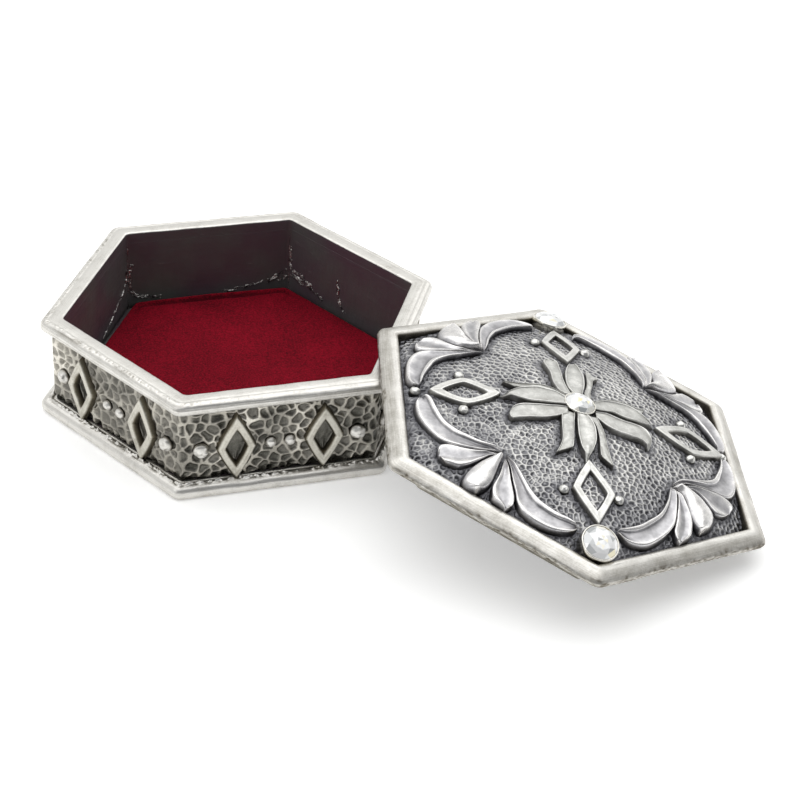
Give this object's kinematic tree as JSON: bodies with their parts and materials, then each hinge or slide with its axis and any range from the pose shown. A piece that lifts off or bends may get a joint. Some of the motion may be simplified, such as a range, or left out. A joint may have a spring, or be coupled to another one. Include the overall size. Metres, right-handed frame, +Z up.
{
  "type": "rosary box",
  "caption": "Small six-sided pewter keepsake box with a velvet-lined inside and a lift-off domed lid with a cross, palmettes and crystals.",
  "frame": {"origin": "middle of the box's underside, on the table", "axes": "+Z up; -Y out of the box's front wall, the one nearest the viewer; +X to the right, towards the side where the lid rests"},
  "size_m": [0.1018, 0.096, 0.019],
  "materials": {
    "hammered_pewter": "hammered, darkened in the hollows",
    "pebbled_pewter": "pebbled, darkened in the hollows",
    "satin_pewter": "satin",
    "polished_pewter": "polished on its high parts",
    "silvered_cup": "bright",
    "card": "plain card",
    "velvet": "short pile",
    "crystal": "clear, faceted"
  },
  "bodies": {
    "box": {"base_plate": "satin_pewter", "wall_front": "hammered_pewter", "wall_front_right": "hammered_pewter", "wall_back_right": "hammered_pewter", "wall_back": "hammered_pewter", "wall_back_left": "hammered_pewter", "wall_front_left": "hammered_pewter", "top_rim": "satin_pewter", "lozenges_front": "polished_pewter", "lozenges_front_right": "polished_pewter", "lozenges_back_right": "polished_pewter", "lozenges_back": "polished_pewter", "lozenges_back_left": "polished_pewter", "lozenges_front_left": "polished_pewter", "beads_front": "polished_pewter", "beads_front_right": "polished_pewter", "beads_back_right": "polished_pewter", "beads_back": "polished_pewter", "beads_back_left": "polished_pewter", "beads_front_left": "polished_pewter", "pad_card": "card", "velvet_pad": "velvet"},
    "lid": {"lid_plate": "pebbled_pewter", "lid_rim": "satin_pewter", "lid_lip": "satin_pewter", "cross_arm_right": "polished_pewter", "cross_arm_far": "polished_pewter", "cross_arm_left": "polished_pewter", "cross_arm_near": "polished_pewter", "lid_lozenge_right": "polished_pewter", "lid_lozenge_far": "polished_pewter", "lid_lozenge_left": "polished_pewter", "lid_lozenge_near": "polished_pewter", "lid_beads": "polished_pewter", "palmette_far_right": "polished_pewter", "palmette_far_left": "polished_pewter", "palmette_near_left": "polished_pewter", "palmette_near_right": "polished_pewter", "cup_centre": "silvered_cup", "cup_far": "silvered_cup", "cup_near": "silvered_cup", "stone_centre": "crystal", "stone_far": "crystal", "stone_near": "crystal"}
  },
  "joints": [
    {"name": "lid_lift", "type": "slide", "parent": "box", "child": "lid", "axis": [0, 0, 1], "range_m": [0, 0.04]}
  ]
}
